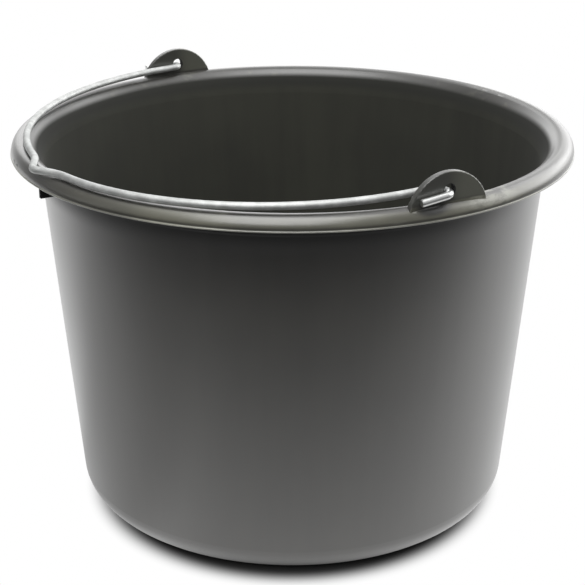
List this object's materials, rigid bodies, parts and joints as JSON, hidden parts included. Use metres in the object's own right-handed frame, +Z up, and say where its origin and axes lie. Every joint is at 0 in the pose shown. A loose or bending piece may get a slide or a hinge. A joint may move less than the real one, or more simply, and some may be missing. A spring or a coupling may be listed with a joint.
{
  "type": "cement bucket",
  "caption": "Round tapered builder's bucket with a rolled rim, moulded ears and a swinging wire bail with a kink at its middle.",
  "frame": {"origin": "middle of the base, on the floor that the foot ring stands on", "axes": "+Z up along the bucket's axis; +X and -X to the two ears, along the bail's hinge line; the bail lies on the rim towards -Y"},
  "size_m": [0.4066, 0.4028, 0.293],
  "materials": {
    "body_plastic": "satin dark olive-grey moulded polyethylene, lightly scuffed",
    "bail_wire": "bright zinc-plated drawn wire"
  },
  "bodies": {
    "bucket": {"bucket_body": "body_plastic"},
    "bail": {"wire_bail": "bail_wire"}
  },
  "joints": [
    {"name": "bail_swing", "type": "hinge", "parent": "bucket", "child": "bail", "pos_m": [0, 0, 0.2795], "axis": [-1, 0, 0], "range_deg": [0, 182]}
  ]
}
